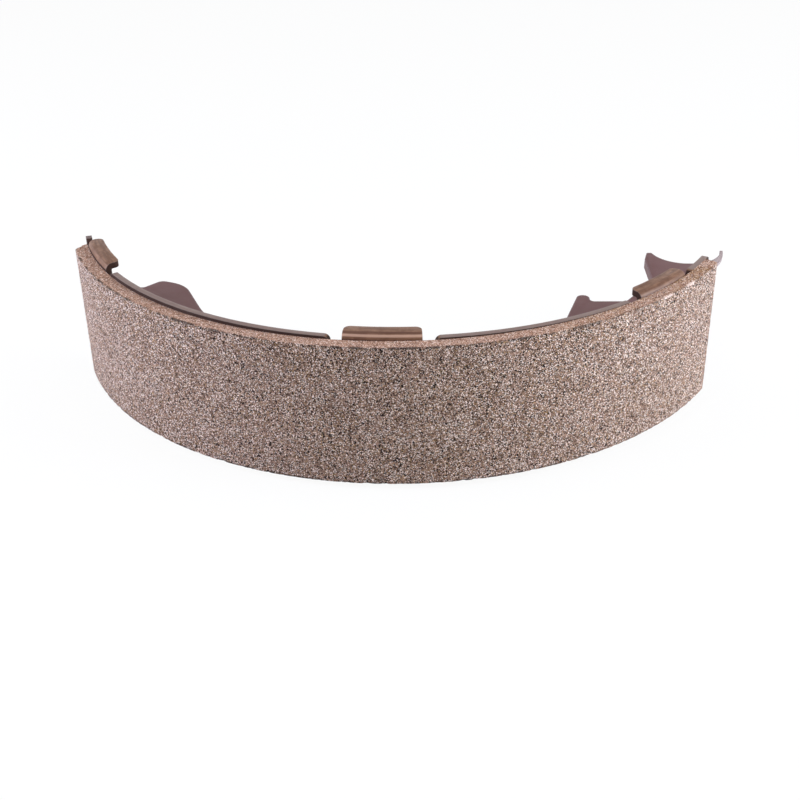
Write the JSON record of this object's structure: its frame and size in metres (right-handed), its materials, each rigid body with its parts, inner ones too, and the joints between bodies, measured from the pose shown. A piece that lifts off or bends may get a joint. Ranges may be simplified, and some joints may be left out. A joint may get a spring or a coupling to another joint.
{
  "type": "drum brake shoe",
  "caption": "Bonded drum brake shoe: a curved friction lining on a rolled steel table with folded ears, stiffened by a flat edge-on web with an anchor seat and an adjuster slot.",
  "frame": {"origin": "drum axis, at the level of the lower ear pads", "axes": "+Z along the drum axis from the lower ears to the upper ears; +X towards the anchor seat, along the shoe's longest extent; the arc of the lining bulges towards -Y"},
  "size_m": [0.2991, 0.1578, 0.0652],
  "materials": {
    "lining": "matt moulded friction material with fine fibres and specks, ground on the rubbing face",
    "table_steel": "thin brown-grey paint, semi-matt, rust-brown in the folds",
    "web_steel": "thin purple-brown paint, semi-matt, greyer at the cut edges",
    "weld_steel": "painted over with the web"
  },
  "bodies": {
    "root": {"friction_lining": "lining", "shoe_table": "table_steel", "shoe_web": "web_steel", "weld_nuggets": "weld_steel"}
  },
  "joints": []
}
